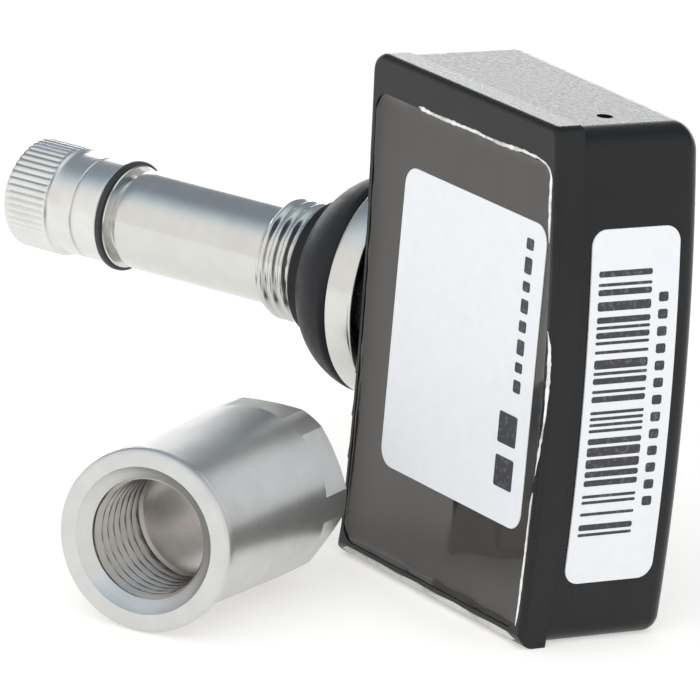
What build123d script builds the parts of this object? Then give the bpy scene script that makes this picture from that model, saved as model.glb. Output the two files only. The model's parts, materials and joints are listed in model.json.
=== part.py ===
from build123d import *
import math
import os

os.makedirs("parts", exist_ok=True)

# Clamp-in tyre pressure sensor, millimetres, +Z up.
# The valve stem lies on the X axis and points to -X; the origin is the middle of
# the grommet neck, the centre of the rim's valve hole. Stem lengths below are
# measured from the outer face of the stem flange. The housing stands on its lower
# end wall and is turned about Z by the stem angle.

# ---------------------------------------------------------------- dimensions
stem_angle = 21.89          # angle between stem axis and housing width
body_d = 13.9               # housing depth
lip_top, base = 20.95, -20.3                     # upper edge of the front lip, standing base
tub_top_l, tub_top_r = 20.8, 20.35               # upper wall of the tub behind the lip
stem_side = ((20.95, 0.1), (0.3, 1.3), (-20.3, 1.1))      # hollow side wall: (height, width)
label_side = ((20.95, 26.5), (0.3, 28.6), (-20.3, 27.9))  # bulged side wall
lip_depth = 2.5             # front lip, depth
lip_proud = 0.5             # front lip, step over the side walls
lip_round = 1.2             # rounding of the lip's lower front edge
lip_edge = 0.5              # rounding of the lip's other front edges
rim_stem, rim_label = 0.8, 0.75                  # width of the lip beside the front recess
rim_top, rim_bot = 17.9, -18.9                   # upper and lower end of the front recess
back_round = 1.4            # rounding of the closed back
rim_x = 5.825               # flange face, measured from the rim hole at the origin
house_x, house_y = rim_x + 1.850, -8.190   # front edge of the stem-side wall

flange_r, flange_t = 9.14, 2.6
thread_r = 5.0              # M10 x 1 stem thread, crest radius
neck_r = 4.6                # undercut below the grommet
body_r = 4.14               # smooth length of the stem
groove_r = 3.2
collar_r = 4.3
ring_r = 4.62
mouth_r = 3.8               # valve mouth thread, crest radius
spigot_r = 3.6
bore_r = 1.5
x_grommet = -6.4            # outer end of the grommet
x_thread = -10.2            # outer end of the stem thread
x_groove = -25.1
x_collar = -26.05
x_mouth0 = -26.9
x_mouth1 = -34.25           # valve mouth
cap_x0, cap_x1 = -26.98, -36.6
cap_skirt_r, cap_grip_r = 4.25, 4.6
cap_step = -32.0
tunnel_r = 4.6              # moulded tunnel around the fixing screw
head_pocket_r = 3.3
seat_x = 9.4                # floor of the screw pocket

nut_mouth_r, nut_sleeve_r, nut_end_r, nut_bore_r = 7.25, 6.59, 7.1, 4.72   # sleeve widens to the back
nut_len, nut_hex_from, nut_af = 22.0, 17.8, 13.2
nut_x, nut_y, nut_z = rim_x + 5.74, -38.67, -13.002
nut_turn, nut_dip = 100.5, 0.515

# -------------------------------------------------------------------- frames
ca, sa = math.cos(math.radians(stem_angle)), math.sin(math.radians(stem_angle))
hx = Vector(ca, -sa, 0)                 # housing width direction
hy = Vector(sa, ca, 0)                  # housing depth direction, front to back
front = Plane(origin=(house_x, house_y, 0), x_dir=hx, z_dir=hy * -1)


stem_plane = Plane(origin=(rim_x, 0, 0))     # local x along the stem, local y is the radius


def across(x):
    """Plane across the stem, x from the flange's outer face towards the housing."""
    return Plane.YZ.offset(rim_x + x)


def depth(d):
    """Plane parallel to the front, d behind it; local x is width, local y is up."""
    return front.offset(-d)


def wall(three, z):
    """Width of a side wall at height z, a parabola through three points."""
    (a, u), (b, v), (c, w) = three
    return (
        u * (z - b) * (z - c) / ((a - b) * (a - c))
        + v * (z - a) * (z - c) / ((b - a) * (b - c))
        + w * (z - a) * (z - b) / ((c - a) * (c - b))
    )


def wall_points(three, shift, top, bot):
    """Lower end, middle and upper end of a side wall moved by shift."""
    return [(wall(three, z) + shift, z) for z in (bot, (top + bot) / 2, top)]


def outline(il, ir, top_l, top_r, bot):
    """Housing outline, side walls set in by il and ir, between the given heights."""
    a = wall_points(stem_side, il, top_l, bot)
    b = wall_points(label_side, -ir, top_r, bot)
    with BuildLine() as edge:
        ThreePointArc(*a)
        Line(a[2], b[2])
        ThreePointArc(b[2], b[1], b[0])
        Line(b[0], a[0])
    make_face(edge.edges())


def round_corners(sk, left_top, left_bot, right_top, right_bot):
    """Round the four corners of an outline."""
    order = sk.vertices().sort_by(Axis.X)
    corners = [*order[:2].sort_by(Axis.Y), *order[2:].sort_by(Axis.Y)]
    for (x, y), r in zip([(v.X, v.Y) for v in corners], (left_bot, left_top, right_bot, right_top)):
        fillet(sk.vertices().sort_by_distance((x, y, 0))[0], r)


def place(w, d, z):
    """Point of the housing (width, depth, height) in the common frame."""
    return Vector(house_x, house_y, 0) + hx * w + hy * d + Vector(0, 0, z)


# ------------------------------------------------------------ housing cavity
with BuildPart() as recess:                      # shallow front recess
    with BuildSketch(depth(0)) as sk:
        outline(rim_stem, rim_label, rim_top, rim_top, rim_bot)
        fillet(sk.vertices(), 1.4)
    extrude(amount=-1.6)

with BuildPart() as cavity:                      # deep room behind the ledge
    with BuildSketch(depth(0)) as sk:
        outline(2.0, 2.0, 17.7, 17.7, -18.5)
        fillet(sk.vertices(), 1.6)
    extrude(amount=-12.6)
    with BuildSketch(across(-5)):
        Circle(tunnel_r)
    extrude(amount=40, mode=Mode.SUBTRACT)

with BuildPart() as seat_pad:                    # slanted pad under the stem flange
    with BuildSketch(across(flange_t + 0.02)):
        Circle(7.3)
    extrude(amount=7.5)
    with BuildSketch(depth(1.6)):
        with Locations((0, 0)):
            Rectangle(40, 16)
    extrude(amount=-(body_d - 1.6), mode=Mode.INTERSECT)

# ------------------------------------------------------------------- housing
with BuildPart() as housing:
    with BuildSketch(depth(1.0)) as sk:
        outline(lip_proud, lip_proud, tub_top_l, tub_top_r, base - 0.02)
        round_corners(sk, 1.2, 1.6, 2.4, 1.6)
    extrude(amount=-(body_d - 1.0))
    fillet(housing.faces().sort_by(Axis((0, 0, 0), hy))[-1].edges(), back_round)
    with BuildSketch(depth(0)) as sk:
        outline(0, 0, lip_top, lip_top, base - 0.5)
        round_corners(sk, 1.5, 1.0, 0.8, 0.8)
    extrude(amount=-lip_depth)
    fillet(housing.faces().sort_by(Axis((0, 0, 0), hy))[0].edges(), lip_edge)
    with BuildSketch(Plane(origin=place(-3, 0, base), x_dir=hy, z_dir=hx)):
        with BuildLine():                        # flat base, rounded lower edge of the lip
            Polyline((lip_round, 0), (30, 0), (30, -3), (-5, -3), (-5, lip_round + 0.25), (-0.05, lip_round + 0.25))
            ThreePointArc((-0.05, lip_round + 0.25), (0.32 * lip_round, 0.36 * lip_round), (lip_round, 0))
        make_face()
    extrude(amount=36, mode=Mode.SUBTRACT)
    add(seat_pad.part)
    add(recess.part, mode=Mode.SUBTRACT)
    add(cavity.part, mode=Mode.SUBTRACT)
    with BuildSketch(depth(12.7)):               # board posts
        with Locations((6.3, 15.3), (22.6, 15.3), (6.0, -15.6)):
            Circle(1.3)
    extrude(amount=12.7 - 5.42)
    with BuildSketch(depth(5.45)):               # locating pegs on the posts
        with Locations((6.3, 15.3), (22.6, 15.3), (6.0, -15.6)):
            Circle(0.6)
    extrude(amount=1.1)
    with BuildSketch(across(0)):        # spigot socket
        Circle(spigot_r + 0.05)
    extrude(amount=5.5, mode=Mode.SUBTRACT)
    with BuildSketch(across(5)):        # screw hole
        Circle(2.1)
    extrude(amount=6, mode=Mode.SUBTRACT)
    with BuildSketch(across(seat_x)):   # screw pocket, open to the back
        Circle(head_pocket_r)
    extrude(amount=26, mode=Mode.SUBTRACT)
    with BuildSketch(Plane(origin=place(21.9, 7.5, 21.4), x_dir=hx, z_dir=(0, 0, 1))):
        Circle(0.65)                             # pressure port in the upper end wall
    extrude(amount=-4.5, mode=Mode.SUBTRACT)
housing.part.label = "housing"
export_step(housing.part, "parts/housing.step")

# ------------------------------------------------------------------- potting
with BuildPart() as potting_resin:
    with BuildSketch(depth(0.45)) as sk:
        outline(rim_stem, rim_label, rim_top, rim_top, rim_bot)
        fillet(sk.vertices(), 1.4)
    extrude(amount=-1.15)
    with BuildSketch(depth(1.55)) as sk:
        outline(2.0, 2.0, 17.7, 17.7, -18.5)
        fillet(sk.vertices(), 1.6)
    extrude(amount=-1.55)
potting_resin.part.label = "potting_resin"
export_step(potting_resin.part, "parts/potting_resin.step")

with BuildPart() as front_label:
    with BuildSketch(depth(0.33)) as sk:
        with Locations((5.95, -11.4)):
            RectangleRounded(20.05, 24.4, 1.5, align=(Align.MIN, Align.MIN))
    extrude(amount=-0.12)
front_label.part.label = "front_label"
export_step(front_label.part, "parts/front_label.step")

# label wrapped on the bulged end wall: a slice of a thin ring
(px, py), (qx, qy), (rx, ry) = wall_points(label_side, -lip_proud, tub_top_r, base - 0.02)
det = 2 * (px * (qy - ry) + qx * (ry - py) + rx * (py - qy))
wall_cx = ((px**2 + py**2) * (qy - ry) + (qx**2 + qy**2) * (ry - py) + (rx**2 + ry**2) * (py - qy)) / det
wall_cz = ((px**2 + py**2) * (rx - qx) + (qx**2 + qy**2) * (px - rx) + (rx**2 + ry**2) * (qx - px)) / det
wall_r = math.hypot(qx - wall_cx, qy - wall_cz)  # radius of the bulged wall
with BuildPart() as end_label:
    with BuildSketch(depth(3.3)):
        with Locations((wall_cx, wall_cz)):
            Circle(wall_r + 0.13)
            Circle(wall_r + 0.01, mode=Mode.SUBTRACT)
        with Locations((qx, -16)):
            Rectangle(30, 30, align=(Align.CENTER, Align.MIN), mode=Mode.INTERSECT)
    extrude(amount=-9)
    with BuildSketch(Plane(origin=place(20, 7.75, -1.2), x_dir=hy, z_dir=hx)):
        RectangleRounded(8.2, 28.2, 1.3)
    extrude(amount=15, mode=Mode.INTERSECT)
end_label.part.label = "end_label"
export_step(end_label.part, "parts/end_label.step")

# --------------------------------------------------------------- electronics
with BuildPart() as circuit_board:
    with BuildSketch(depth(4.6)):
        with Locations((14.4, 0)):
            RectangleRounded(20.4, 34.4, 1.0)
        with Locations((6.3, 15.3), (22.6, 15.3), (6.0, -15.6)):
            Circle(0.65, mode=Mode.SUBTRACT)
        with Locations((24.2, -7)):              # edge notch
            Circle(0.8, mode=Mode.SUBTRACT)
    extrude(amount=-0.8)
circuit_board.part.label = "circuit_board"
export_step(circuit_board.part, "parts/circuit_board.step")

with BuildPart() as battery_cell:
    with BuildSketch(depth(5.75)):
        with Locations((16.8, -8.9)):
            Circle(7.1)
    extrude(amount=-0.6)
    with BuildSketch(depth(6.35)):
        with Locations((16.8, -8.9)):
            Circle(8.0)
    extrude(amount=-2.6)
    fillet(battery_cell.edges().sort_by(Axis((0, 0, 0), hy))[-1:], 0.4)
battery_cell.part.label = "battery_cell"
export_step(battery_cell.part, "parts/battery_cell.step")

with BuildPart() as battery_tab_minus:
    with BuildSketch(depth(5.45)):
        with Locations((16.8, -8.9)):
            RectangleRounded(12.0, 3.2, 0.8)
    extrude(amount=-0.25)
battery_tab_minus.part.label = "battery_tab_minus"
export_step(battery_tab_minus.part, "parts/battery_tab_minus.step")

with BuildPart() as battery_tab_plus:
    with BuildSketch(depth(9.0)):
        with Locations((16.8, -9.9)):
            Rectangle(3.2, 10.0, align=(Align.CENTER, Align.MIN))
    extrude(amount=-0.25)
    with BuildSketch(depth(5.45)):
        with Locations((16.8, -0.15)):
            Rectangle(3.2, 0.25, align=(Align.CENTER, Align.MIN))
    extrude(amount=-3.8)
battery_tab_plus.part.label = "battery_tab_plus"
export_step(battery_tab_plus.part, "parts/battery_tab_plus.step")

with BuildPart() as pressure_chip:
    with BuildSketch(depth(5.45)):
        with Locations((20.3, 4.4)):
            Rectangle(6.0, 5.0)
    extrude(amount=-1.9)
    chamfer(pressure_chip.faces().sort_by(Axis((0, 0, 0), hy))[-1].edges(), 0.2)
    with BuildSketch(depth(7.4)):
        with Locations((20.3, 4.4)):
            Circle(0.55)
    extrude(amount=0.9, mode=Mode.SUBTRACT)
pressure_chip.part.label = "pressure_chip"
export_step(pressure_chip.part, "parts/pressure_chip.step")

with BuildPart() as controller_chip:
    with BuildSketch(depth(4.55)):
        with Locations((11.5, 3.6)):
            Rectangle(5.0, 5.0)
    extrude(amount=1.0)
    chamfer(controller_chip.faces().sort_by(Axis((0, 0, 0), hy))[0].edges(), 0.15)
controller_chip.part.label = "controller_chip"
export_step(controller_chip.part, "parts/controller_chip.step")

with BuildPart() as quartz_crystal:
    with BuildSketch(depth(4.55)):
        with Locations((18.6, 9.4)):
            RectangleRounded(3.2, 2.5, 0.4)
    extrude(amount=0.8)
    fillet(quartz_crystal.faces().sort_by(Axis((0, 0, 0), hy))[0].edges(), 0.2)
quartz_crystal.part.label = "quartz_crystal"
export_step(quartz_crystal.part, "parts/quartz_crystal.step")

with BuildPart() as chip_capacitors:
    with BuildSketch(depth(4.55)):
        with Locations((16.2, 5.2), (16.2, 2.6), (16.2, 0.0), (12.4, 8.6), (9.2, 8.6), (19.6, -3.0)):
            Rectangle(1.6, 0.8)
    extrude(amount=0.8)
chip_capacitors.part.label = "chip_capacitors"
export_step(chip_capacitors.part, "parts/chip_capacitors.step")

with BuildPart() as ferrite_core:
    with BuildSketch(depth(5.85)):
        with Locations((12.6, 9.8)):
            Rectangle(12.0, 2.4)
    extrude(amount=-2.2)
    with BuildSketch(depth(5.45)):
        with Locations((7.3, 9.8), (17.9, 9.8)):
            Rectangle(1.4, 3.6)
    extrude(amount=-3.0)
ferrite_core.part.label = "ferrite_core"
export_step(ferrite_core.part, "parts/ferrite_core.step")

with BuildPart() as coil_winding:
    with BuildSketch(Plane(origin=place(8.2, 6.95, 9.8), x_dir=hy, z_dir=hx)) as sk:
        RectangleRounded(3.0, 3.4, 0.5)
        Rectangle(2.26, 2.46, mode=Mode.SUBTRACT)
    extrude(amount=8.8)
coil_winding.part.label = "coil_winding"
export_step(coil_winding.part, "parts/coil_winding.step")

with BuildPart() as antenna_loop:
    with BuildSketch(Plane(origin=place(0, 0, 13.4), x_dir=hx, z_dir=(0, 0, 1))) as sk:
        with BuildLine():
            Polyline(
                (8.6, 5.45), (8.6, 9.6), (20.4, 9.6), (20.4, 5.45),
                (20.0, 5.45), (20.0, 9.2), (9.0, 9.2), (9.0, 5.45), close=True,
            )
        make_face()
    extrude(amount=1.4)
    fillet(antenna_loop.edges().filter_by(Axis.Z).sort_by(Axis((0, 0, 0), hy))[-2:], 0.35)
antenna_loop.part.label = "antenna_loop"
export_step(antenna_loop.part, "parts/antenna_loop.step")

with BuildPart() as port_filter:
    with BuildSketch(Plane(origin=place(21.9, 7.5, 17.67), x_dir=hx, z_dir=(0, 0, 1))):
        Circle(1.5)
    extrude(amount=-0.3)
port_filter.part.label = "port_filter"
export_step(port_filter.part, "parts/port_filter.step")

# ---------------------------------------------------------------- valve stem
with BuildPart() as valve_stem:
    with BuildSketch(stem_plane):
        with BuildLine():
            Polyline(
                (5.4, 2.0), (5.4, spigot_r - 0.3), (5.1, spigot_r), (flange_t, spigot_r),
                (flange_t, flange_r - 0.25), (flange_t - 0.25, flange_r),
                (0.25, flange_r), (0, flange_r - 0.25), (0, neck_r),
                (x_grommet + 0.05, neck_r), (x_grommet - 0.1, thread_r), (x_thread + 0.35, thread_r),
                (x_thread, thread_r - 0.45), (x_thread, body_r),
                (x_groove + 0.2, body_r), (x_groove, body_r - 0.2), (x_groove, groove_r),
                (x_collar, groove_r), (x_collar, collar_r - 0.08), (x_collar - 0.08, collar_r),
                (x_collar - 0.12, collar_r), (x_collar - 0.12, 3.85), (x_collar - 0.74, 3.85),
                (x_collar - 0.74, collar_r), (x_mouth0, collar_r), (x_mouth0, mouth_r),
                (x_mouth1 + 0.4, mouth_r), (x_mouth1, mouth_r - 0.4), (x_mouth1, 3.0),
                (x_mouth1 + 0.5, 2.62), (-29.75, 2.62), (-28.65, 2.2), (-14.0, 2.2),
                (-13.3, bore_r), (-2.6, bore_r), (-2.6, 2.0), close=True,
            )
        make_face()
    revolve(axis=Axis.X)
valve_stem.part.label = "valve_stem"
export_step(valve_stem.part, "parts/valve_stem.step")

with BuildPart() as rim_grommet:
    with BuildSketch(stem_plane):
        with BuildLine():
            Line((-0.03, neck_r + 0.03), (-0.03, 8.75))
            ThreePointArc((-0.03, 8.75), (-0.35, 9.0), (-0.8, 9.02))
            ThreePointArc((-0.8, 9.02), (-3.35, 7.85), (-5.1, 5.9))
            ThreePointArc((-5.1, 5.9), (-5.25, 5.65), (-5.45, 5.55))
            Line((-5.45, 5.55), (-6.2, 5.55))
            Line((-6.2, 5.55), (-6.35, 5.4))
            Line((-6.35, 5.4), (-6.35, neck_r + 0.03))
            Line((-6.35, neck_r + 0.03), (-0.03, neck_r + 0.03))
        make_face()
    revolve(axis=Axis.X)
rim_grommet.part.label = "rim_grommet"
export_step(rim_grommet.part, "parts/rim_grommet.step")

with BuildPart() as collar_ring:
    with BuildSketch(stem_plane):
        with Locations((x_collar - 0.43, (ring_r + 3.88) / 2)):
            RectangleRounded(0.58, ring_r - 3.88, 0.2)
    revolve(axis=Axis.X)
collar_ring.part.label = "collar_ring"
export_step(collar_ring.part, "parts/collar_ring.step")

with BuildPart() as fixing_washer:
    with BuildSketch(across(seat_x)):
        Circle(3.1)
        Circle(2.12, mode=Mode.SUBTRACT)
    extrude(amount=0.5)
fixing_washer.part.label = "fixing_washer"
export_step(fixing_washer.part, "parts/fixing_washer.step")

with BuildPart() as fixing_screw:                # hollow, air leaves through it
    with BuildSketch(stem_plane):
        with BuildLine():
            Polyline(
                (seat_x + 0.5, 0), (seat_x + 2.7, 0), (seat_x + 2.7, 2.7), (seat_x + 2.4, 3.0),
                (seat_x + 0.5, 3.0), (seat_x + 0.5, 1.96), (-1.8, 1.96), (-2.2, 1.6), (-2.2, 0),
                close=True,
            )
        make_face()
    revolve(axis=Axis.X)
    with BuildSketch(across(seat_x + 2.7)):
        RegularPolygon(radius=1.45, side_count=6)
    extrude(amount=-1.4, mode=Mode.SUBTRACT)
    with BuildSketch(across(-3)):
        Circle(0.7)
    extrude(amount=20, mode=Mode.SUBTRACT)
fixing_screw.part.label = "fixing_screw"
export_step(fixing_screw.part, "parts/fixing_screw.step")

# ---------------------------------------------------------------- valve core
with BuildPart() as core_plug:
    with BuildSketch(stem_plane):
        with BuildLine():
            Polyline(
                (-29.85, 0.85), (-29.85, 2.3), (-30.1, 2.55), (-32.9, 2.55), (-33.1, 2.35),
                (-33.1, 0.85), close=True,
            )
        make_face()
    revolve(axis=Axis.X)
    with BuildSketch(across(-33.2)):    # driver flats, also the air way
        with Locations((2.3, 0), (-2.3, 0)):
            Rectangle(1.6, 6)
    extrude(amount=1.6, mode=Mode.SUBTRACT)
core_plug.part.label = "core_plug"
export_step(core_plug.part, "parts/core_plug.step")

with BuildPart() as core_seal:
    with BuildSketch(stem_plane):
        with BuildLine():
            Polyline((-29.8, 1.95), (-29.8, 2.58), (-29.6, 2.52), (-28.75, 2.18), (-28.75, 1.95), close=True)
        make_face()
    revolve(axis=Axis.X)
core_seal.part.label = "core_seal"
export_step(core_seal.part, "parts/core_seal.step")

with BuildPart() as core_barrel:
    with BuildSketch(stem_plane):
        with BuildLine():
            Polyline(
                (-29.8, 1.4), (-29.8, 1.9), (-21.25, 1.9), (-21.0, 1.65), (-21.0, 0.8),
                (-21.9, 0.8), (-21.9, 1.4), close=True,
            )
        make_face()
    revolve(axis=Axis.X)
core_barrel.part.label = "core_barrel"
export_step(core_barrel.part, "parts/core_barrel.step")

with BuildPart() as core_pin:
    with BuildSketch(stem_plane):
        with BuildLine():
            Polyline(
                (-33.8, 0), (-33.8, 0.55), (-33.6, 0.7), (-33.2, 0.7), (-33.0, 0.45),
                (-28.2, 0.45), (-28.2, 1.2), (-27.7, 1.2), (-27.7, 0.45), (-20.5, 0.45),
                (-20.5, 1.7), (-19.9, 1.7), (-19.5, 0.7), (-19.2, 0.7), (-19.2, 0), close=True,
            )
        make_face()
    revolve(axis=Axis.X)
core_pin.part.label = "core_pin"
export_step(core_pin.part, "parts/core_pin.step")

with BuildPart() as core_poppet_seal:
    with BuildSketch(stem_plane):
        with Locations((-20.73, 1.13)):
            Rectangle(0.42, 1.18)
    revolve(axis=Axis.X)
core_poppet_seal.part.label = "core_poppet_seal"
export_step(core_poppet_seal.part, "parts/core_poppet_seal.step")

spring_r, wire_r = 0.95, 0.16
with BuildPart() as core_spring:
    with BuildLine() as coil:
        Helix(pitch=0.76, height=5.4, radius=spring_r, center=(rim_x - 27.5, 0, 0), direction=(1, 0, 0))
    with BuildSketch(Plane(origin=coil.line @ 0, z_dir=coil.line % 0)):
        Circle(wire_r)
    sweep(path=coil.line, is_frenet=True)
core_spring.part.label = "core_spring"
export_step(core_spring.part, "parts/core_spring.step")

# ----------------------------------------------------------------- valve cap
with BuildPart() as valve_cap:
    with BuildSketch(stem_plane):
        with BuildLine():
            Line((cap_x0, 3.88), (cap_x0, cap_skirt_r - 0.15))
            Line((cap_x0, cap_skirt_r - 0.15), (cap_x0 - 0.15, cap_skirt_r))
            Line((cap_x0 - 0.15, cap_skirt_r), (cap_step + 0.3, cap_skirt_r))
            Line((cap_step + 0.3, cap_skirt_r), (cap_step, cap_grip_r))
            Line((cap_step, cap_grip_r), (cap_x1 + 0.8, cap_grip_r))
            ThreePointArc((cap_x1 + 0.8, cap_grip_r), (cap_x1 + 0.22, cap_grip_r - 0.25), (cap_x1, cap_grip_r - 0.85))
            Line((cap_x1, cap_grip_r - 0.85), (cap_x1, 0))
            Line((cap_x1, 0), (-35.2, 0))
            Line((-35.2, 0), (-35.2, 3.88))
            Line((-35.2, 3.88), (cap_x0, 3.88))
        make_face()
    revolve(axis=Axis.X)
valve_cap.part.label = "valve_cap"
export_step(valve_cap.part, "parts/valve_cap.step")

with BuildPart() as cap_gasket:
    with BuildSketch(across(-35.17)):
        Circle(3.6)
        Circle(1.2, mode=Mode.SUBTRACT)
    extrude(amount=0.75)
cap_gasket.part.label = "cap_gasket"
export_step(cap_gasket.part, "parts/cap_gasket.step")

# ---------------------------------------------------------------- sleeve nut
nt, nd = math.radians(nut_turn), math.radians(nut_dip)
nut_dir = Vector(math.cos(nt) * math.cos(nd), math.sin(nt) * math.cos(nd), -math.sin(nd))
nut_side = Vector(math.sin(nt), -math.cos(nt), 0)
nut_plane = Plane(origin=(nut_x, nut_y, nut_z), x_dir=nut_side, z_dir=nut_dir)
nut_axis = Axis((nut_x, nut_y, nut_z), nut_dir)
nut_section = Plane(origin=(nut_x, nut_y, nut_z), x_dir=nut_dir, z_dir=nut_side.cross(nut_dir) * -1)
with BuildPart() as sleeve_nut:
    with BuildSketch(nut_section):
        with BuildLine():
            Polyline(
                (0, nut_bore_r), (0, nut_mouth_r - 0.2), (0.2, nut_mouth_r), (1.1, nut_mouth_r),
                (1.5, nut_sleeve_r), (nut_hex_from, nut_end_r), (nut_len - 0.5, nut_end_r),
                (nut_len, 6.5), (nut_len, nut_bore_r), close=True,
            )
        make_face()
    revolve(axis=nut_axis)
    with BuildSketch(nut_plane.offset(nut_hex_from)):
        Circle(12)
        RegularPolygon(radius=nut_af / math.sqrt(3), side_count=6, mode=Mode.SUBTRACT)
    extrude(amount=nut_len, mode=Mode.SUBTRACT)
    with BuildSketch(nut_section):               # mouth countersink
        with BuildLine():
            Polyline((-0.1, 0), (-0.1, 5.85), (0.9, nut_bore_r), (0.9, 0), close=True)
        make_face()
    revolve(axis=nut_axis, mode=Mode.SUBTRACT)
sleeve_nut.part.label = "sleeve_nut"
export_step(sleeve_nut.part, "parts/sleeve_nut.step")
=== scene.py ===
import json
import math
import random

import bmesh
import bpy
from mathutils import Matrix, Vector, noise


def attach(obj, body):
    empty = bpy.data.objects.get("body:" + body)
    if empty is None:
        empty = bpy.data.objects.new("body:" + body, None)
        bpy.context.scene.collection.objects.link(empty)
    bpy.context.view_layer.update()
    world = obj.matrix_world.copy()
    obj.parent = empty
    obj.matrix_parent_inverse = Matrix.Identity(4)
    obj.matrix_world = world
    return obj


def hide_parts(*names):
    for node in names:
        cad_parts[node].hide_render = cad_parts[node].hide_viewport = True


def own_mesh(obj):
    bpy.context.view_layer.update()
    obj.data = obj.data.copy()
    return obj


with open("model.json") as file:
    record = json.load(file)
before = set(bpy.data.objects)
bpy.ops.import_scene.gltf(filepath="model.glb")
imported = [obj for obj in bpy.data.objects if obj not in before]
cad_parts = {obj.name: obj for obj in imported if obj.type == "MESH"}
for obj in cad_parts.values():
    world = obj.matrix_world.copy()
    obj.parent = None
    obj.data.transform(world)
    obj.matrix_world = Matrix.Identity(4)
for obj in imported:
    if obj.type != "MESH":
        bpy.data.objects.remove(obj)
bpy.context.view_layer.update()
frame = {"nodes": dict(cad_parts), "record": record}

nodes = frame["nodes"]
MM = 0.001

# ------------------------------------------------------------------ object frame
RIM_X = 5.825                                   # flange face from the rim hole, mm
ANG = math.radians(21.89)
CA, SA = math.cos(ANG), math.sin(ANG)
HX = Vector((CA, -SA, 0.0))                     # housing width
HY = Vector((SA, CA, 0.0))                      # housing depth
H0 = Vector((RIM_X + 1.85, -8.19, 0.0))
STEM_SIDE = ((20.95, 0.1), (0.3, 1.3), (-20.3, 1.1))      # side walls: (height, width)
LABEL_SIDE = ((20.95, 26.5), (0.3, 28.6), (-20.3, 27.9))
WALL_W, WALL_Z, WALL_R = -124.7435, -4.8176, 152.9293     # circle of the bulged wall
FLOOR_Z = -20.3
scene = bpy.context.scene


def wall(three, z):
    """Width of a side wall at height z."""
    (a, u), (b, v), (c, w) = three
    return (u * (z - b) * (z - c) / ((a - b) * (a - c)) + v * (z - a) * (z - c) / ((b - a) * (b - c))
            + w * (z - a) * (z - b) / ((c - a) * (c - b)))


def house(w, d, z):
    """Housing point (width, depth, height in mm) in metres."""
    return (H0 + HX * w + HY * d + Vector((0, 0, z))) * MM


# ------------------------------------------------------------------- node helpers
def new_material(name):
    m = bpy.data.materials.new(name)
    m.use_nodes = True
    nt = m.node_tree
    return m, nt, nt.nodes["Principled BSDF"]


def link(nt, a, b):
    nt.links.new(a, b)


def tex_noise(nt, vec, scale, detail=3.0, rough=0.55):
    n = nt.nodes.new("ShaderNodeTexNoise")
    n.inputs["Scale"].default_value = scale
    n.inputs["Detail"].default_value = detail
    n.inputs["Roughness"].default_value = rough
    link(nt, vec, n.inputs["Vector"])
    return n.outputs["Fac"]


def ramp(nt, fac, stops):
    r = nt.nodes.new("ShaderNodeValToRGB")
    els = r.color_ramp.elements
    while len(els) < len(stops):
        els.new(0.5)
    for e, (p, c) in zip(els, stops):
        e.position = p
        e.color = (*c, 1.0) if len(c) == 3 else c
    link(nt, fac, r.inputs["Fac"])
    return r.outputs["Color"]


def span(nt, fac, lo, hi, a=0.0, b=1.0):
    m = nt.nodes.new("ShaderNodeMapRange")
    m.inputs["From Min"].default_value = a
    m.inputs["From Max"].default_value = b
    m.inputs["To Min"].default_value = lo
    m.inputs["To Max"].default_value = hi
    link(nt, fac, m.inputs["Value"])
    return m.outputs["Result"]


def bump(nt, bsdf, height, dist, strength=1.0, below=None):
    b = nt.nodes.new("ShaderNodeBump")
    b.inputs["Strength"].default_value = strength
    b.inputs["Distance"].default_value = dist
    link(nt, height, b.inputs["Height"])
    if below is not None:
        link(nt, below, b.inputs["Normal"])
    link(nt, b.outputs["Normal"], bsdf.inputs["Normal"])
    return b.outputs["Normal"]


def coords(nt, kind="Object", scale=(1, 1, 1), rot=(0, 0, 0)):
    c = nt.nodes.new("ShaderNodeTexCoord")
    mp = nt.nodes.new("ShaderNodeMapping")
    mp.inputs["Scale"].default_value = scale
    mp.inputs["Rotation"].default_value = rot
    link(nt, c.outputs[kind], mp.inputs["Vector"])
    return mp.outputs["Vector"]


def plastic(name, dark, light, rough=(0.36, 0.46), grain=2600.0, depth=0.00002, strength=0.5, spec=0.5):
    """Moulded plastic: mottled colour, uneven gloss and a fine spark-eroded grain."""
    m, nt, b = new_material(name)
    v = coords(nt)
    big = tex_noise(nt, v, 160.0, 4.0)
    fine = tex_noise(nt, v, grain, 3.0, 0.6)
    link(nt, ramp(nt, big, [(0.3, dark), (0.72, light)]), b.inputs["Base Color"])
    link(nt, span(nt, fine, rough[0], rough[1], 0.3, 0.7), b.inputs["Roughness"])
    b.inputs["Specular IOR Level"].default_value = spec
    bump(nt, b, fine, depth, strength)
    return m


def turned(name, c0, c1, rough=(0.16, 0.26), kind="UV", lines=(300.0, 52000.0, 1.0), depth=0.000004, strength=0.35, rot=(0, 0, 0), metal=1.0):
    """Turned metal: fine tool lines round the axis, faint stains, uneven gloss."""
    m, nt, b = new_material(name)
    v = coords(nt, kind, lines, rot)
    tool = tex_noise(nt, v, 1.0, 2.0, 0.5)
    o = coords(nt)
    stain = tex_noise(nt, o, 420.0, 4.0)
    link(nt, ramp(nt, stain, [(0.3, c0), (0.7, c1)]), b.inputs["Base Color"])
    b.inputs["Metallic"].default_value = metal
    link(nt, span(nt, tool, rough[0], rough[1], 0.3, 0.7), b.inputs["Roughness"])
    bump(nt, b, tool, depth, strength)
    return m


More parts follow.
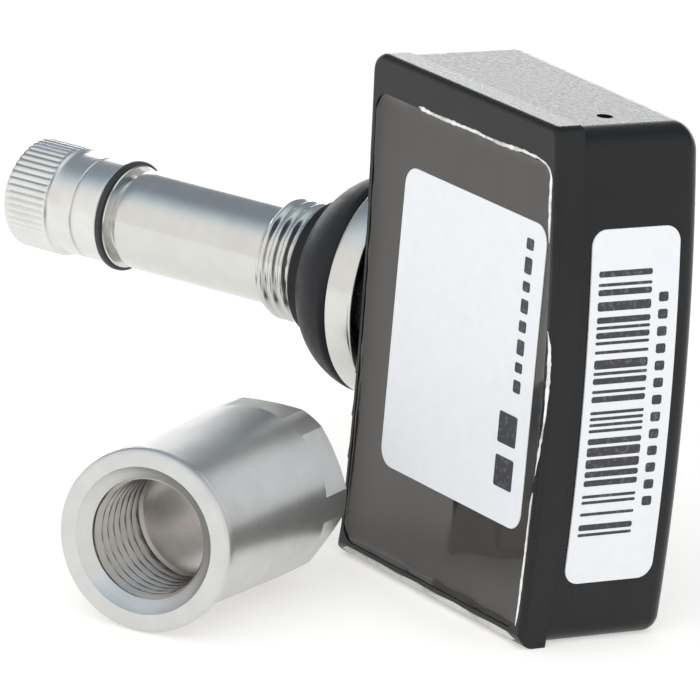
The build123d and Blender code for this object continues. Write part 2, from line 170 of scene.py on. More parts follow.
# ---------------------------------------------------------------------- camera
AZ, EL, ROLL = math.radians(34.61), math.radians(14.5), math.radians(5.12)
DIST, FOCAL_PX = 580.2, 7279.8
to_cam = Vector((math.sin(AZ) * math.cos(EL), -math.cos(AZ) * math.cos(EL), math.sin(EL)))
right0 = Vector((math.cos(AZ), math.sin(AZ), 0.0))
up0 = to_cam.cross(right0)
right = right0 * math.cos(ROLL) + up0 * math.sin(ROLL)
up = up0 * math.cos(ROLL) - right0 * math.sin(ROLL)
eye = H0 + to_cam * DIST
PX_MM = FOCAL_PX / DIST
aim = H0 + right * (0.9 / PX_MM) - up * (45.3 / PX_MM)
back = (eye - aim).normalized()
rgt = (right - back * right.dot(back)).normalized()
upv = back.cross(rgt)
cam_data = bpy.data.cameras.new("camera")
cam = bpy.data.objects.new("camera", cam_data)
bpy.context.scene.collection.objects.link(cam)
rotm = Matrix((rgt, upv, back)).transposed().to_4x4()
cam.matrix_world = Matrix.Translation(eye * MM) @ rotm
cam_data.sensor_width = 36.0
cam_data.lens = 36.0 * FOCAL_PX / 700.0
cam_data.clip_start, cam_data.clip_end = 0.01, 20.0
bpy.context.scene.camera = cam

# ---------------------------------------------------------------- floor and light
scene.view_settings.view_transform = "Standard"

fm = bpy.data.meshes.new("floor")
S = 4.0
fm.from_pydata([(-S, -S, 0), (S, -S, 0), (S, S, 0), (-S, S, 0)], [], [(0, 1, 2, 3)])
floor = bpy.data.objects.new("floor", fm)
floor.location = (0, 0, FLOOR_Z * MM - 0.00002)
scene.collection.objects.link(floor)
m, nt, b = new_material("floor_white")
v = coords(nt)
link(nt, ramp(nt, tex_noise(nt, v, 6.0, 2.0), [(0.2, (0.50, 0.492, 0.48)), (0.8, (0.515, 0.507, 0.495))]), b.inputs["Base Color"])
b.inputs["Roughness"].default_value = 0.9
b.inputs["Emission Color"].default_value = (1.0, 0.985, 0.96, 1.0)     # lit from below as well
b.inputs["Emission Strength"].default_value = 0.50
b.inputs["Specular IOR Level"].default_value = 0.1
fm.materials.append(m)

world = bpy.data.worlds.new("studio")
scene.world = world
world.use_nodes = True
wn = world.node_tree
bg = wn.nodes["Background"]
tc = wn.nodes.new("ShaderNodeTexCoord")


def dot_with(vec):
    d = wn.nodes.new("ShaderNodeVectorMath")
    d.operation = "DOT_PRODUCT"
    d.inputs[1].default_value = vec
    link(wn, tc.outputs["Generated"], d.inputs[0])
    return d.outputs["Value"]


sin_el = dot_with((0, 0, 1))
away = Vector((-math.sin(AZ), math.cos(AZ), 0.0))          # horizontally away from the camera
front_sky = ramp(wn, sin_el, [
    (0.0, (1.0, 0.985, 0.955)), (0.52, (1.0, 0.985, 0.96)), (0.66, (0.88, 0.95, 1.0)), (0.84, (0.66, 0.78, 0.90)), (0.94, (0.44, 0.54, 0.64)), (1.0, (0.28, 0.33, 0.38))])
back_sky = ramp(wn, sin_el, [
    (0.0, (0.82, 0.82, 0.81)), (0.26, (0.82, 0.82, 0.81)), (0.37, (0.27, 0.30, 0.335)), (1.0, (0.28, 0.33, 0.38))])
mx = wn.nodes.new("ShaderNodeMix")
mx.data_type = "RGBA"
link(wn, span(wn, dot_with(away), 0.0, 1.0, -0.10, 0.30), mx.inputs["Factor"])
link(wn, front_sky, mx.inputs["A"])
link(wn, back_sky, mx.inputs["B"])
link(wn, mx.outputs["Result"], bg.inputs["Color"])
panel = wn.nodes.new("ShaderNodeBackground")               # bright card low behind the object
card = wn.nodes.new("ShaderNodeMath")
card.operation = "MULTIPLY"
link(wn, span(wn, sin_el, 3.3, 0.0, 0.28, 0.40), card.inputs[0])
link(wn, span(wn, dot_with(away), 0.0, 1.0, 0.70, 0.86), card.inputs[1])
link(wn, card.outputs["Value"], panel.inputs["Strength"])
both = wn.nodes.new("ShaderNodeAddShader")
link(wn, bg.outputs[0], both.inputs[0])
link(wn, panel.outputs[0], both.inputs[1])
link(wn, both.outputs[0], wn.nodes["World Output"].inputs["Surface"])


def softbox(name, loc, target, size, power, glossy=True, color=(1, 1, 1)):
    d = bpy.data.lights.new(name, "AREA")
    d.shape = "RECTANGLE"
    d.size, d.size_y = size
    d.energy = power
    d.color = color
    o = bpy.data.objects.new(name, d)
    scene.collection.objects.link(o)
    o.location = loc
    z = (Vector(loc) - Vector(target)).normalized()
    o.rotation_euler = z.to_track_quat("Z", "Y").to_euler()
    o.visible_camera = False
    o.visible_glossy = glossy
    return o


mid = (0.01, -0.01, 0.0)
softbox("overhead", (0.0, -0.05, 0.7), mid, (1.2, 1.2), 3.4, glossy=False, color=(1.0, 0.965, 0.92))
softbox("front_fill", (0.25, -0.65, 0.35), mid, (0.8, 0.6), 2.9, glossy=False)

# ------------------------------------------------------------------- materials
MAT = {}
MAT["housing_plastic"] = plastic("housing_black", (0.0050, 0.0053, 0.0062), (0.0080, 0.0083, 0.0095), rough=(0.22, 0.33), grain=3200.0, depth=0.00002, strength=0.24, spec=0.31)
MAT["stem_aluminium"] = turned("stem_metal", (0.655, 0.65, 0.628), (0.705, 0.70, 0.678), rough=(0.14, 0.25))
MAT["cap_aluminium"] = turned("cap_metal", (0.72, 0.715, 0.70), (0.79, 0.785, 0.765), rough=(0.22, 0.34))
MAT["nut_aluminium"] = turned("nut_metal", (0.575, 0.575, 0.568), (0.635, 0.635, 0.627), rough=(0.27, 0.39), metal=0.86)
NUT_BORE = turned("nut_bore_metal", (0.54, 0.505, 0.47), (0.61, 0.57, 0.53), rough=(0.27, 0.40))
# the nut's thread is coloured much darker than the rest of the nut: painted shade inside the bore
NUT_THREAD_SHADE = turned("nut_thread_painted_shade", (0.34, 0.325, 0.305), (0.42, 0.40, 0.38), rough=(0.27, 0.40))
MAT["screw_steel"] = turned("screw_zinc", (0.52, 0.53, 0.55), (0.64, 0.65, 0.67), rough=(0.22, 0.36), kind="Object", lines=(9000.0, 500.0, 500.0))
MAT["core_brass"] = turned("core_turned_brass", (0.66, 0.49, 0.20), (0.78, 0.60, 0.29), rough=(0.20, 0.34), kind="Object", lines=(9000.0, 500.0, 500.0))
MAT["spring_steel"] = turned("spring_wire", (0.42, 0.42, 0.44), (0.55, 0.55, 0.57), rough=(0.25, 0.4), kind="Object", lines=(3000.0, 3000.0, 3000.0))
MAT["battery_can"] = turned("cell_can", (0.60, 0.61, 0.63), (0.72, 0.73, 0.74), rough=(0.2, 0.34), kind="Object", lines=(900.0, 900.0, 9000.0))
MAT["tab_nickel"] = turned("nickel_tab", (0.58, 0.57, 0.53), (0.68, 0.67, 0.63), rough=(0.25, 0.4), kind="Object", lines=(900.0, 900.0, 9000.0))
MAT["crystal_can"] = turned("crystal_metal", (0.62, 0.62, 0.62), (0.72, 0.72, 0.72), rough=(0.2, 0.33), kind="Object", lines=(900.0, 900.0, 9000.0))
MAT["copper_wire"] = turned("winding_copper", (0.55, 0.22, 0.09), (0.74, 0.36, 0.18), rough=(0.22, 0.38), kind="Object", lines=(14000.0, 600.0, 600.0), depth=0.00003, strength=0.8)
MAT["aerial_strip"] = turned("aerial_bronze", (0.66, 0.54, 0.36), (0.78, 0.66, 0.48), rough=(0.25, 0.4), kind="Object", lines=(900.0, 900.0, 9000.0))
MAT["chip_epoxy"] = plastic("chip_black", (0.016, 0.016, 0.018), (0.03, 0.03, 0.032), rough=(0.45, 0.6), grain=5000.0)
MAT["capacitor_body"] = plastic("capacitor_tan", (0.36, 0.26, 0.16), (0.48, 0.36, 0.25), rough=(0.35, 0.5), grain=5000.0)
MAT["ferrite"] = plastic("ferrite_grey", (0.04, 0.04, 0.045), (0.075, 0.075, 0.08), rough=(0.5, 0.7), grain=4000.0)
MAT["board_laminate"] = plastic("board_green", (0.012, 0.09, 0.04), (0.03, 0.17, 0.08), rough=(0.25, 0.4), grain=3000.0)
MAT["filter_film"] = plastic("filter_white", (0.70, 0.70, 0.68), (0.85, 0.85, 0.83), rough=(0.7, 0.9), grain=6000.0)
MAT["grommet_rubber"] = plastic("grommet_black", (0.009, 0.0095, 0.0115), (0.014, 0.0145, 0.017), rough=(0.42, 0.54), grain=1400.0, depth=0.00001, strength=0.35, spec=0.20)
MAT["seal_rubber"] = plastic("seal_black", (0.014, 0.014, 0.015), (0.024, 0.024, 0.025), rough=(0.38, 0.5), grain=1800.0, depth=0.00001, strength=0.3)


def film(name):
    """White label film: faint fibre mottling, a soft sheen and a slightly uneven lie."""
    m, nt, b = new_material(name)
    v = coords(nt)
    mot = tex_noise(nt, v, 900.0, 4.0)
    lie = tex_noise(nt, v, 140.0, 2.0)
    link(nt, ramp(nt, mot, [(0.25, (0.675, 0.69, 0.715)), (0.75, (0.71, 0.72, 0.74))]), b.inputs["Base Color"])
    link(nt, span(nt, mot, 0.34, 0.44, 0.3, 0.7), b.inputs["Roughness"])
    b.inputs["Specular IOR Level"].default_value = 0.4
    bump(nt, b, lie, 0.00008, 0.3)
    return m


def ink(name):
    """Thermal print: near black, a little broken where the ribbon left gaps."""
    m, nt, b = new_material(name)
    v = coords(nt)
    gaps = tex_noise(nt, v, 2600.0, 3.0)
    link(nt, ramp(nt, gaps, [(0.30, (0.10, 0.10, 0.11)), (0.45, (0.030, 0.030, 0.034)), (1.0, (0.022, 0.022, 0.026))]), b.inputs["Base Color"])
    link(nt, span(nt, gaps, 0.35, 0.55, 0.3, 0.7), b.inputs["Roughness"])
    return m


def cast_resin(name):
    """Cast potting resin: black and glossy with slow ripples, a few specks and smears."""
    m, nt, b = new_material(name)
    v = coords(nt)
    smear = tex_noise(nt, v, 240.0, 4.0)
    slow = tex_noise(nt, v, 95.0, 2.0)
    speck = tex_noise(nt, v, 5200.0, 2.0)
    link(nt, ramp(nt, smear, [(0.3, (0.010, 0.0098, 0.0095)), (0.75, (0.018, 0.017, 0.016))]), b.inputs["Base Color"])
    link(nt, span(nt, smear, 0.045, 0.10, 0.35, 0.75), b.inputs["Roughness"])
    b.inputs["IOR"].default_value = 1.72
    b.inputs["Specular Tint"].default_value = (1.0, 0.95, 0.91, 1.0)
    n1 = bump(nt, b, slow, 0.00025, 0.10)
    bump(nt, b, ramp(nt, speck, [(0.70, (0, 0, 0)), (0.80, (1, 1, 1))]), 0.00002, 0.25, below=n1)
    return m


def painted_highlight_resin(name, stops, scale=700.0, lie=0.4):
    """Sealant colour for the lip's edges: noise turns it dark or pale, a painted highlight broken into painted glints.
    """
    m, nt, b = new_material(name)
    v = coords(nt)
    glint_mask = tex_noise(nt, v, scale, 3.0, 0.6)
    link(nt, ramp(nt, glint_mask, stops), b.inputs["Base Color"])
    link(nt, span(nt, glint_mask, 0.10, 0.25, 0.3, 0.7), b.inputs["Roughness"])
    bump(nt, b, glint_mask, 0.00006, lie)
    return m


MAT["label_film"] = film("label_white")
MAT["resin"] = cast_resin("potting_black")
INK = ink("label_ink")
# pale and dark noise colour for the bead on the lip: a painted highlight with painted glints
BEAD_HIGHLIGHT = painted_highlight_resin("resin_edge_painted_highlight", [(0.28, (0.24, 0.235, 0.23)), (0.42, (0.56, 0.55, 0.535)), (0.58, (0.74, 0.73, 0.71))])
# pale colour for the film on the lower rounded edge of the lip: a painted highlight of the bright rim
RIM_HIGHLIGHT_FILM = painted_highlight_resin("rim_film_painted_highlight", [(0.25, (0.30, 0.297, 0.29)), (0.45, (0.46, 0.455, 0.445)), (0.70, (0.56, 0.555, 0.545))], 330.0, 0.15)

NODE_SLOT = {s["node"]: s["material_slot"] for s in frame["record"]["subparts"]}
for name, ob in nodes.items():
    ob.data.materials.clear()
    ob.data.materials.append(MAT[NODE_SLOT[name]])


# ------------------------------------------------------------------ mesh helpers
def finish_mesh(name, verts, faces, mats, uvs=None, sharp=30.0, place=None, index=None):
    me = bpy.data.meshes.new(name)
    me.from_pydata(verts, [], faces)
    for m in mats:
        me.materials.append(m)
    if index is not None:
        me.polygons.foreach_set("material_index", index)
    if uvs is not None:
        lay = me.uv_layers.new(name="UVMap")
        lay.data.foreach_set("uv", [c for uv in uvs for c in uv])
    bm = bmesh.new()
    bm.from_mesh(me)
    bmesh.ops.remove_doubles(bm, verts=bm.verts, dist=2e-8)
    bmesh.ops.dissolve_degenerate(bm, edges=bm.edges, dist=1e-9)
    bmesh.ops.recalc_face_normals(bm, faces=bm.faces)
    bm.to_mesh(me)
    bm.free()
    me.shade_smooth()
    me.set_sharp_from_angle(angle=math.radians(sharp))
    if place is not None:
        me.transform(place)
    ob = bpy.data.objects.new(name, me)
    scene.collection.objects.link(ob)
    return ob


def lathe(name, rows, segs, mats, radius=None, place=None, closed=True, sharp=30.0, which=None):
    """Turned piece: rows of (x, r) in mm round local X; radius(x, r, angle) may shape a row,
    which(x, r) may give a row another of the materials."""
    n = len(rows)
    run = [0.0]
    for (a, p), (c, q) in zip(rows, rows[1:] + rows[:1]):
        run.append(run[-1] + math.hypot(a - c, p - q))
    verts, faces, uvs, index = [], [], [], []
    for x, r in rows:
        for j in range(segs):
            t = 2 * math.pi * j / segs
            q = radius(x, r, t) if radius else r
            verts.append((x * MM, q * math.cos(t) * MM, q * math.sin(t) * MM))
    for i in range(n if closed else n - 1):
        k = (i + 1) % n
        for j in range(segs):
            l = (j + 1) % segs
            u0, u1 = 0.03 * j / segs, 0.03 * (j + 1) / segs
            v0, v1 = run[i] * MM, run[i + 1] * MM
            faces.append((i * segs + j, k * segs + j, k * segs + l, i * segs + l))
            uvs += [(u0, v0), (u0, v1), (u1, v1), (u1, v0)]
            index.append(which(*rows[i]) if which else 0)
    return finish_mesh(name, verts, faces, mats, uvs, sharp, place, index)


def bend(cx, cr, rad, a0, a1, n=5):
    """Rows along an arc, angles in degrees from +x."""
    out = []
    for i in range(n + 1):
        a = math.radians(a0 + (a1 - a0) * i / n)
        out.append((cx + rad * math.cos(a), cr + rad * math.sin(a)))
    return out


def steps(x0, x1, r, step):
    k = max(1, int(round(abs(x1 - x0) / step)))
    return [(x0 + (x1 - x0) * i / k, r) for i in range(k + 1)]


def ridge(x, t, pitch):
    """Thread height 0..1 of a right-hand thread with rounded crests and roots."""
    p = (x / pitch - t / (2 * math.pi)) % 1.0
    h = min(1.0, max(0.0, (abs(2 * p - 1) - 0.10) / 0.78))
    return h * h * (3 - 2 * h) * 0.35 + h * 0.65


# -------------------------------------------------------------------- valve stem
STEM = [(5.4, 2.0), (5.4, 3.3), (5.1, 3.6), (2.6, 3.6), (2.6, 6.0), (2.6, 8.84)]
STEM += bend(2.3, 8.84, 0.3, 0, 90)
STEM += [(1.3, 9.14)]
STEM += bend(0.3, 8.84, 0.3, 90, 180)
STEM += [(0.0, 6.5), (0.0, 4.6), (-5.9, 4.6)]
STEM += steps(-6.15, -10.2, 5.0, 0.0625)
STEM += [(-10.2, 4.40)] + bend(-10.42, 4.36, 0.22, 0, -90)
STEM += steps(-10.6, -24.85, 4.14, 0.9)
STEM += [(-25.0, 4.10), (-25.1, 3.98), (-25.1, 3.3)] + bend(-25.2, 3.3, 0.1, 0, -90, 3)
STEM += [(-25.95, 3.2)] + [(-26.05, 3.3), (-26.05, 4.2), (-26.13, 4.3), (-26.17, 4.3), (-26.17, 3.85), (-26.79, 3.85), (-26.79, 4.3), (-26.9, 4.3), (-26.9, 3.75)]
STEM += steps(-27.0, -34.2, 3.8, 0.055)
STEM += [(-34.25, 3.35), (-34.25, 3.0), (-33.75, 2.62), (-29.75, 2.62), (-28.65, 2.2), (-14.0, 2.2), (-13.3, 1.5), (-2.6, 1.5), (-2.6, 2.0)]


def stem_radius(x, r, t):
    if r == 5.0:
        crest = min(5.0, 4.52 + (x + 10.2) * 1.1)
        return min(crest, 4.60 + 0.40 * ridge(x, t, 1.0))
    if r == 3.8:
        crest = min(3.8, 3.4 + (x + 34.2) * 1.0)
        return min(crest, 3.40 + 0.40 * ridge(x, t, 0.794))
    return r


stem = lathe("stem_turned", STEM, 144, [MAT["stem_aluminium"]], stem_radius, Matrix.Translation((RIM_X * MM, 0, 0)), sharp=32.0)
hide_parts("valve_stem")
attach(stem, "sensor")

# --------------------------------------------------------------------- valve cap
CAP = [(-36.42, 0.0), (-36.42, 1.5), (-36.46, 2.9), (-36.6, 3.35), (-36.6, 3.75)]
CAP += bend(-35.8, 3.8, 0.8, 180, 90, 8)
CAP += steps(-35.6, -32.35, 4.6, 0.16)
CAP += [(-32.2, 4.6), (-32.05, 4.54), (-31.95, 4.36), (-31.85, 4.27), (-31.7, 4.25)]
CAP += steps(-31.4, -29.85, 4.25, 0.5)
CAP += [(-29.66, 4.25), (-29.60, 4.19), (-29.57, 4.09), (-29.36, 4.09), (-29.33, 4.19), (-29.27, 4.25)]
CAP += steps(-29.05, -27.4, 4.25, 0.5)
CAP += bend(-27.13, 4.10, 0.15, 90, 0, 3)
CAP += [(-26.98, 3.95), (-27.05, 3.88)]
CAP += steps(-27.3, -34.3, 3.881, 0.08)
CAP += [(-34.6, 3.88), (-35.2, 3.88), (-35.2, 0.0)]


def cap_radius(x, r, t):
    if r == 3.881:
        return 3.88 + 0.15 * ridge(x, t, 0.794)
    if r > 4.255 and x < -31.99:
        p = (t * 48 / (2 * math.pi)) % 1.0
        groove = max(0.0, 1.0 - abs(p - 0.5) / 0.34)
        fade = min(1.0, max(0.0, (x + 36.25) / 0.45)) * min(1.0, max(0.0, (-32.05 - x) / 0.25))
        return r - 0.13 * groove * fade
    return r


cap = lathe("cap_knurled", CAP, 480, [MAT["cap_aluminium"]], cap_radius, Matrix.Translation((RIM_X * MM, 0, 0)), closed=False, sharp=35.0)
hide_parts("valve_cap")
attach(cap, "cap")

# ------------------------------------------------- core spring, pushed together by the pin
SPRING_R, WIRE_R, PITCH, NWIRE = 0.95, 0.16, 0.76, 10
count = 180
verts, faces = [], []
for i in range(count + 1):
    t = 2 * math.pi * (5.4 / PITCH) * i / count
    mid_wire = Vector((RIM_X - 27.5 + PITCH * t / (2 * math.pi), SPRING_R * math.cos(t), SPRING_R * math.sin(t)))
    along = Vector((PITCH / (2 * math.pi), -SPRING_R * math.sin(t), SPRING_R * math.cos(t))).normalized()
    outward = Vector((0.0, math.cos(t), math.sin(t)))
    across = along.cross(outward)
    for k in range(NWIRE):
        a = 2 * math.pi * k / NWIRE
        verts.append((mid_wire + (outward * math.cos(a) + across * math.sin(a)) * WIRE_R) * MM)
for i in range(count):
    for k in range(NWIRE):
        l = (k + 1) % NWIRE
        faces.append((i * NWIRE + k, i * NWIRE + l, (i + 1) * NWIRE + l, (i + 1) * NWIRE + k))
faces.append(tuple(range(NWIRE)))
faces.append(tuple(count * NWIRE + k for k in range(NWIRE)))
coil = finish_mesh("spring_coil", verts, faces, [MAT["spring_steel"]], sharp=50.0)
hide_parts("core_spring")
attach(coil, "sensor")
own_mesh(coil)

# -------------------------------------------------------------------- sleeve nut
nt_, nd_ = math.radians(100.5), math.radians(0.515)
N_AX = Vector((math.cos(nt_) * math.cos(nd_), math.sin(nt_) * math.cos(nd_), -math.sin(nd_)))
N_SIDE = Vector((math.sin(nt_), -math.cos(nt_), 0.0))
N_UP = N_AX.cross(N_SIDE)
nut_place = Matrix.Translation(Vector((RIM_X + 5.74, -38.67, -13.002)) * MM) @ Matrix((N_AX, N_SIDE, N_UP)).transposed().to_4x4()
NUT = [(0.0, 5.80), (0.0, 6.25), (0.02, 6.75)] + bend(0.45, 6.82, 0.43, 180, 90, 6)
NUT += [(0.9, 7.25)] + bend(1.0, 7.05, 0.2, 90, 30, 3) + [(1.45, 6.64), (1.55, 6.60), (1.7, 6.597)]
NUT += [(x, 6.59 + (x - 1.5) * 0.51 / 16.3) for x, r in steps(2.5, 17.5, 0.0, 0.9)]        # sleeve, widening
NUT += [(17.74, 7.098), (17.8, 7.1)] + steps(17.85, 18.3, 7.1, 0.05) + steps(18.6, 21.4, 7.1, 0.5)
NUT += [(21.5 + 0.5 * k / 8, 7.1 - 0.6 * k / 8) for k in range(9)]
NUT += [(22.0, 6.2), (22.0, 5.2), (21.55, 4.72)]
NUT += steps(20.2, 9.6, 4.72, 1.1)
NUT += [(9.4, 4.74), (9.2, 5.02), (8.8, 5.02)]
NUT += steps(8.7, 0.95, 5.001, 0.0625)
NUT += [(0.88, 4.80), (0.5, 5.24), (0.12, 5.70)]


def nut_radius(x, r, t):
    if r == 5.001:
        lead = min(1.0, max(0.0, (8.7 - x) / 0.4))
        return 5.0 - 0.50 * lead * (1.0 - ridge(x, t, 1.0)) if x > 1.3 else max(5.0 - 0.50 * (1.0 - ridge(x, t, 1.0)), 4.78 + (1.3 - x) * 0.2)
    if x > 17.8 and r > 6.3:                              # six spanner flats with a short run-out
        a = t % math.radians(60) - math.radians(30)
        return min(r, max(6.6 / math.cos(a), 7.1 - (x - 17.8) * 1.2))
    return r


def nut_side(x, r):
    if r > 5.1 or x > 21.5 or x < 0.9:
        return 0
    # the thread rows inside the mouth take the darker thread colour, painted shade
    return 1 if x > 9.15 else 2


nut = lathe("nut_turned", NUT, 300, [MAT["nut_aluminium"], NUT_BORE, NUT_THREAD_SHADE], nut_radius, nut_place, sharp=20.0, which=nut_side)
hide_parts("sleeve_nut")
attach(nut, "sensor")

# ------------------------------------------------------- potting resin, its surface
R_TOP, R_BOT, R_FIL = 17.9, -18.9, 1.4


def recess_edge():
    """Rounded outline of the front recess as (w, z) points, from the lower stem side round."""
    def left(z):
        return wall(STEM_SIDE, z) + 0.8

    def rightw(z):
        return wall(LABEL_SIDE, z) - 0.75
    f = R_FIL
    pts = []
    for i in range(91):
        z = R_BOT + f + (R_TOP - R_BOT - 2 * f) * i / 90
        pts.append((left(z), z))
    cx, cz = left(R_TOP - f) + f, R_TOP - f
    pts += [(cx - f * math.cos(a), cz + f * math.sin(a)) for a in [math.pi / 2 * k / 12 for k in range(1, 12)]]
    x0, x1 = left(R_TOP) + f, rightw(R_TOP) - f
    pts += [(x0 + (x1 - x0) * i / 60, R_TOP) for i in range(61)]
    cx, cz = rightw(R_TOP - f) - f, R_TOP - f
    pts += [(cx + f * math.sin(a), cz + f * math.cos(a)) for a in [math.pi / 2 * k / 12 for k in range(1, 12)]]
    for i in range(91):
        z = R_TOP - f - (R_TOP - R_BOT - 2 * f) * i / 90
        pts.append((rightw(z), z))
    cx, cz = rightw(R_BOT + f) - f, R_BOT + f
    pts += [(cx + f * math.cos(a), cz - f * math.sin(a)) for a in [math.pi / 2 * k / 12 for k in range(1, 12)]]
    x0, x1 = rightw(R_BOT) - f, left(R_BOT) + f
    pts += [(x0 + (x1 - x0) * i / 60, R_BOT) for i in range(61)]
    cx, cz = left(R_BOT + f) + f, R_BOT + f
    pts += [(cx - f * math.sin(a), cz - f * math.cos(a)) for a in [math.pi / 2 * k / 12 for k in range(1, 12)]]
    return pts


EDGE = recess_edge()
C0 = Vector((14.6, -0.5))
INSETS = [0.0, 0.002, 0.005, 0.009, 0.014, 0.020, 0.027, 0.036, 0.047, 0.060, 0.078, 0.10, 0.13, 0.17, 0.22, 0.28, 0.35, 0.43, 0.52, 0.62, 0.74, 0.87, 1.0]
verts, faces = [], []
ne = len(EDGE)
for k, f in enumerate(INSETS):
    for w, z in EDGE:
        p = C0 + (Vector((w, z)) - C0) * (1 - f)
        e = Vector((w, z))
        inward = (C0 - e).normalized()
        gap = (p - e).length * 0.8
        wob = noise.noise((w * 0.5, z * 0.5, 3.1))
        climb = (0.20 + 0.08 * wob) * math.exp(-gap / (0.30 + 0.10 * wob))
        stem_gap = max(0.0, p.x - wall(STEM_SIDE, p.y) - 0.8)
        climb += 0.27 * math.exp(-stem_gap / (1.15 + 0.25 * noise.noise((p.y * 0.12, 2.0, 6.0)))) * min(1.0, (17.9 - p.y) / 1.5, (p.y + 18.9) / 1.2) * min(1.0, gap / 0.3 + 0.45)
        slow = 0.030 * noise.noise((p.x * 0.16, p.y * 0.16, 7.7)) + 0.012 * noise.noise((p.x * 0.5, p.y * 0.5, 1.3))
        calm = min(1.0, gap / 2.0)
        verts.append(house(p.x, max(0.04, min(0.435, 0.40 - climb + slow * calm)), p.y))
for k in range(len(INSETS) - 1):
    for i in range(ne):
        j = (i + 1) % ne
        faces.append((k * ne + i, k * ne + j, (k + 1) * ne + j, (k + 1) * ne + i))
base = len(verts)
for w, z in EDGE:
    verts.append(house(w, 0.44, z))
for i in range(ne):
    j = (i + 1) % ne
    faces.append((base + i, base + j, j, i))
faces.append(tuple(base + i for i in range(ne)))
skin = finish_mesh("resin_surface", verts, faces, [MAT["resin"]], sharp=60.0)
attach(skin, "sensor")

# thin edge of sealant left on the lip, in broken lengths, its pale colour a painted highlight: (w, z, half width) along
# each
EDGES = [
    [(7.4, 18.05, 0.03), (7.9, 18.0, 0.16), (8.6, 17.95, 0.14), (10.2, 17.92, 0.13), (11.9, 17.93, 0.17), (13.6, 17.97, 0.12),
     (15.4, 18.0, 0.13), (17.2, 17.95, 0.10), (18.9, 17.93, 0.15), (20.8, 18.05, 0.16), (22.8, 18.12, 0.13), (24.6, 18.05, 0.10),
     (25.6, 17.8, 0.08), (26.15, 17.25, 0.10), (26.3, 16.4, 0.15), (26.42, 15.0, 0.14), (26.55, 13.6, 0.12), (26.7, 12.6, 0.06), (26.8, 12.0, 0.02)],
    [(27.75, 5.3, 0.02), (28.0, 4.6, 0.08), (28.25, 3.4, 0.15), (28.38, 1.8, 0.17), (28.42, 0.2, 0.13), (28.42, -1.3, 0.09),
     (28.36, -2.3, 0.06), (28.2, -3.5, 0.11), (28.08, -4.6, 0.12), (27.95, -5.6, 0.05), (27.9, -6.2, 0.02)],
    [(27.78, -7.6, 0.02), (27.7, -8.4, 0.07), (27.62, -10.0, 0.06), (27.62, -11.4, 0.09), (27.55, -13.0, 0.10), (27.5, -14.7, 0.13),
     (27.42, -16.4, 0.12), (27.3, -17.7, 0.09), (27.2, -18.5, 0.02)],
]
verts, faces = [], []
NSEC = 10
for part in EDGES:
    line = []
    for i in range(len(part) - 1):
        p0, p1, p2, p3 = [Vector(part[min(len(part) - 1, max(0, i + k))]) for k in (-1, 0, 1, 2)]
        k = max(2, int((p2 - p1).length / 0.10))
        for j in range(k):
            u = j / k
            line.append(0.5 * (2 * p1 + (p2 - p0) * u + (2 * p0 - 5 * p1 + 4 * p2 - p3) * u * u + (3 * p1 - p0 - 3 * p2 + p3) * u ** 3))
    line.append(Vector(part[-1]))
    first = len(verts)
    for i, p in enumerate(line):
        a, c = line[max(0, i - 1)], line[min(len(line) - 1, i + 1)]
        tan = (Vector((c.x, c.y)) - Vector((a.x, a.y))).normalized()
        out = Vector((-tan.y, tan.x))
        half = max(0.015, 1.05 * p.z * (1.0 + 0.45 * noise.noise((p.x * 2.3, p.y * 2.3, 4.0))))
        at = Vector((p.x, p.y)) + out * 0.05 * noise.noise((p.x * 1.1, p.y * 1.1, 8.0))
        for k in range(NSEC):
            an = 2 * math.pi * k / NSEC
            q = at + out * (half * math.cos(an))
            verts.append(house(q.x, 0.03 - (0.05 + 0.55 * half) * math.sin(an), q.y))
    for i in range(len(line) - 1):
        for k in range(NSEC):
            l = (k + 1) % NSEC
            faces.append((first + i * NSEC + k, first + i * NSEC + l, first + (i + 1) * NSEC + l, first + (i + 1) * NSEC + k))
    faces.append(tuple(first + k for k in range(NSEC)))
    faces.append(tuple(first + (len(line) - 1) * NSEC + k for k in range(NSEC)))
# pale film laid along the rounded lower edge of the lip, a painted highlight for the bright rim; (depth, height over
# the base) of its round
(ax, ay), (bx, by), (cx, cy) = (-0.05, 1.45), (0.384, 0.432), (1.2, 0.0)
det = 2 * (ax * (by - cy) + bx * (cy - ay) + cx * (ay - by))
ox = ((ax * ax + ay * ay) * (by - cy) + (bx * bx + by * by) * (cy - ay) + (cx * cx + cy * cy) * (ay - by)) / det
oy = ((ax * ax + ay * ay) * (cx - bx) + (bx * bx + by * by) * (ax - cx) + (cx * cx + cy * cy) * (bx - ax)) / det
rr = math.hypot(ax - ox, ay - oy)
first, bead_faces = len(verts), len(faces)
NFILM, STATIONS = 9, 220
for i in range(STATIONS + 1):
    w = 1.9 + 25.1 * i / STATIONS
    ends = min(1.0, i / 8, (STATIONS - i) / 8)
    hi = 0.62 + (0.38 + 0.10 * noise.noise((w * 0.35, 1.0, 2.0)) + 0.015 * noise.noise((w * 1.6, 4.0, 2.0))) * ends
    lo = 0.60 - (0.33 + 0.06 * noise.noise((w * 0.7, 8.0, 5.0))) * ends
    thick = 0.012 + (0.030 + 0.012 * noise.noise((w * 0.8, 3.0, 9.0))) * ends
    ring = []
    for k in range(NFILM):
        h = hi + (lo - hi) * k / (NFILM - 1)
        an = math.asin((h - oy) / rr)
        swell = thick * math.sin(math.pi * k / (NFILM - 1))
        ring.append((ox - (rr + swell) * math.cos(an), oy + (rr + swell) * math.sin(an)))
    for k in range(NFILM - 1, -1, -1):
        h = hi + (lo - hi) * k / (NFILM - 1)
        an = math.asin((h - oy) / rr)
        ring.append((ox - (rr - 0.05) * math.cos(an), oy + (rr - 0.05) * math.sin(an)))
    verts += [house(w, d, FLOOR_Z + h) for d, h in ring]
NR = 2 * NFILM
for i in range(STATIONS):
    for k in range(NR):
        l = (k + 1) % NR
        faces.append((first + i * NR + k, first + i * NR + l, first + (i + 1) * NR + l, first + (i + 1) * NR + k))
faces.append(tuple(first + k for k in range(NR)))
faces.append(tuple(first + STATIONS * NR + k for k in range(NR)))
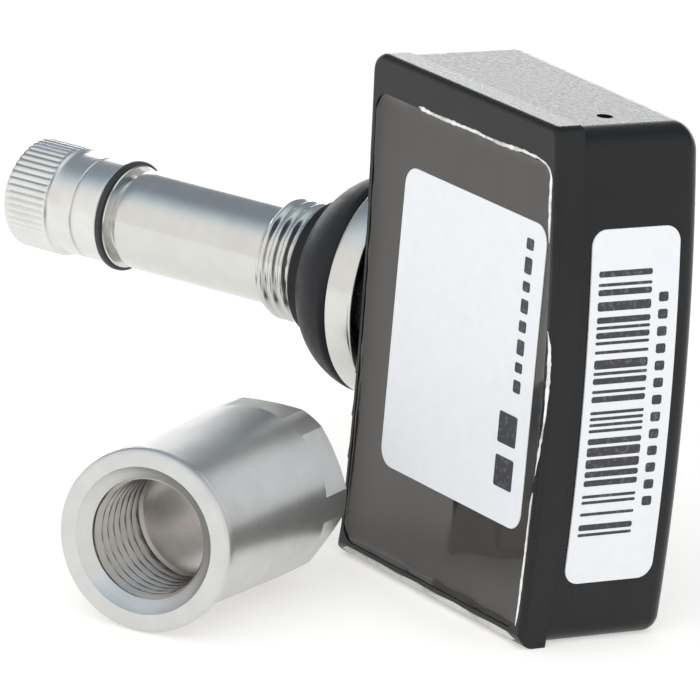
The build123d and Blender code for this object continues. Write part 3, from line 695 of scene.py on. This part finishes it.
bead = finish_mesh("resin_bead", verts, faces, [BEAD_HIGHLIGHT, RIM_HIGHLIGHT_FILM], sharp=60.0, index=[0] * bead_faces + [1] * (len(faces) - bead_faces))
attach(bead, "sensor")


# ------------------------------------------------------------------------ print
def boxes(name, cells, at):
    """Thin printed fields; each cell is (u0, u1, z0, z1), at(u, z, level) gives the point."""
    verts, faces = [], []
    for u0, u1, z0, z1 in cells:
        c = min(0.12, 0.3 * (u1 - u0), 0.3 * (z1 - z0))
        ring = [(u0 + c, z0), (u1 - c, z0), (u1, z0 + c), (u1, z1 - c), (u1 - c, z1), (u0 + c, z1), (u0, z1 - c), (u0, z0 + c)]
        b0 = len(verts)
        for lev in (0, 1):
            verts += [at(u, z, lev) for u, z in ring]
        faces.append(tuple(b0 + 8 + k for k in range(8)))
        faces.append(tuple(b0 + 7 - k for k in range(8)))
        for k in range(8):
            l = (k + 1) % 8
            faces.append((b0 + k, b0 + l, b0 + 8 + l, b0 + 8 + k))
    ob = finish_mesh(name, verts, faces, [INK], sharp=20.0)
    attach(ob, "sensor")
    return ob


def on_wall(d, z, lev):
    rho = WALL_R + (0.122, 0.142)[lev]
    return house(WALL_W + math.sqrt(rho * rho - (z - WALL_Z) ** 2), d, z)


def on_front(w, z, lev):
    return house(w, (0.336, 0.315)[lev], z)


rng = random.Random(41)
cells, z = [], 9.7
while z > -11.2:
    t = rng.choice((0.24, 0.24, 0.48, 0.48, 0.72))
    cells.append((4.35, 9.35, z - t, z))
    z -= t + rng.choice((0.24, 0.24, 0.48, 0.72))
for k in range(13):                                       # plain dashes beside the bars
    zc = 7.4 - 1.36 * k
    cells.append((10.05, 10.95, zc - 0.38, zc + 0.38))
boxes("end_print", cells, on_wall)

cells, z = [], 11.6
for length in (0.9, 1.3, 0.8, 1.1, 0.9, 1.2, 0.8, 1.0):   # plain dashes in a row
    cells.append((23.35, 24.35, z - length, z))
    z -= length + 0.62
cells += [(21.9, 24.4, -5.1, -2.6), (21.9, 24.4, -8.6, -6.1)]   # two plain fields
boxes("front_print", cells, on_front)
